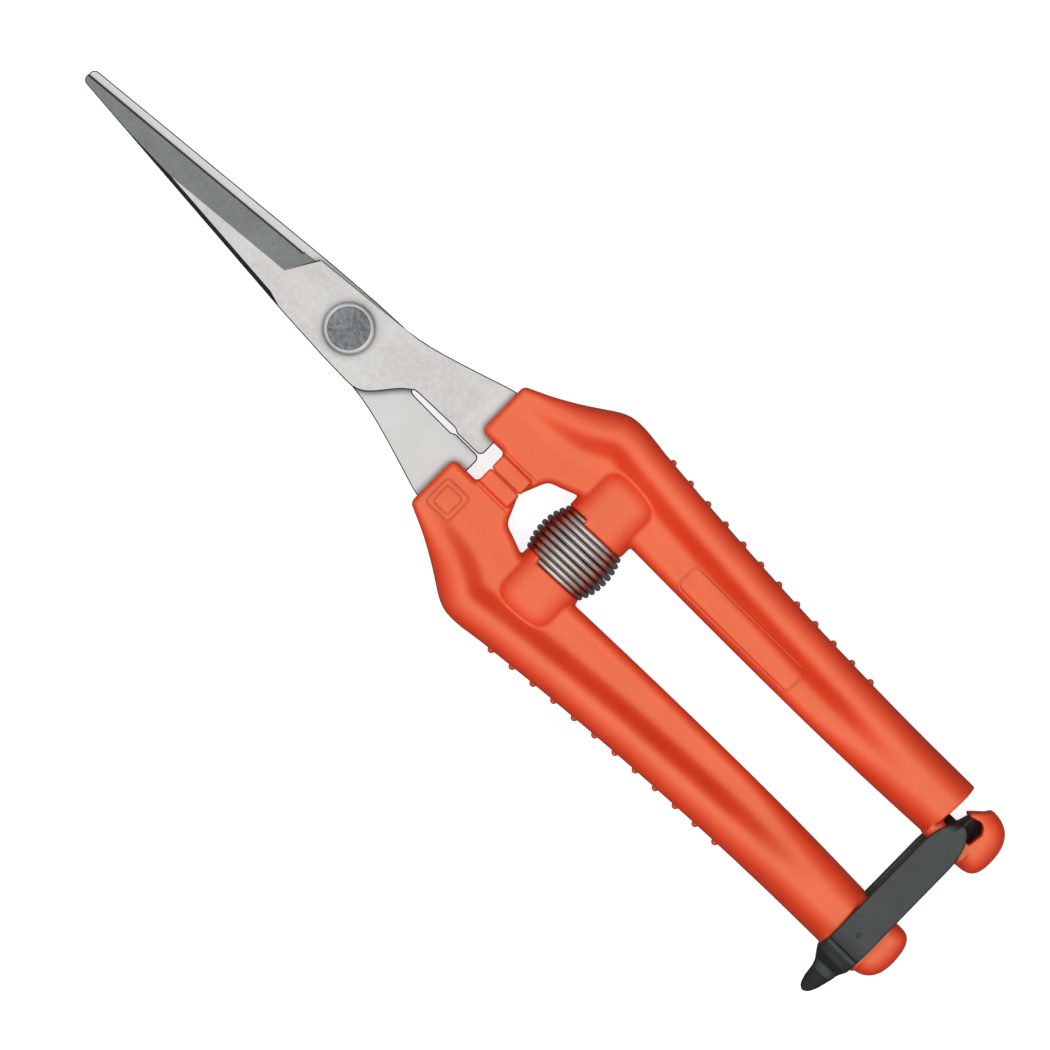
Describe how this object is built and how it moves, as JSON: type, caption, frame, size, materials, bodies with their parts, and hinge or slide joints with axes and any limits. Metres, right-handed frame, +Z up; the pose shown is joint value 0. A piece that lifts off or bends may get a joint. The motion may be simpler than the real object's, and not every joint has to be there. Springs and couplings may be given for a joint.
{
  "type": "floral snips",
  "caption": "Long, narrow-bladed floral snips with moulded handles, a barrel coil spring and a rubber strap that latches the handle ends together.",
  "frame": {"origin": "middle of the latched tool's outline, at the level of the surface it lies on", "axes": "+X towards the blade tips, +Y towards the rear handle and the strap's pull tab, +Z up out of the face with the rivet's head"},
  "size_m": [0.2, 0.0485, 0.0156],
  "materials": {
    "blade_steel": "satin, fine ground bevels",
    "pivot_steel": "polished rim, cast-look centre",
    "handle_plastic": "soft sheen orange-red",
    "spring_steel": "bright drawn wire",
    "strap_rubber": "matt dark grey"
  },
  "bodies": {
    "front_half": {"front_blade": "blade_steel", "front_handle": "handle_plastic", "pivot_rivet": "pivot_steel", "pivot_washer": "pivot_steel", "spring": "spring_steel"},
    "rear_half": {"rear_blade": "blade_steel", "rear_handle": "handle_plastic"},
    "strap_loop": {"strap": "strap_rubber"}
  },
  "joints": [
    {"name": "blade_pivot", "type": "hinge", "parent": "front_half", "child": "rear_half", "pos_m": [0.039, -0.00175, 0.0078], "axis": [0, 0, -1], "range_deg": [0, 20], "deforming": ["spring", "strap"]},
    {"name": "strap_swing", "type": "hinge", "parent": "front_half", "child": "strap_loop", "pos_m": [-0.09205, -0.0089, 0.0078], "axis": [0, 0, 1], "range_deg": [0, 70], "deforming": ["strap"]}
  ]
}
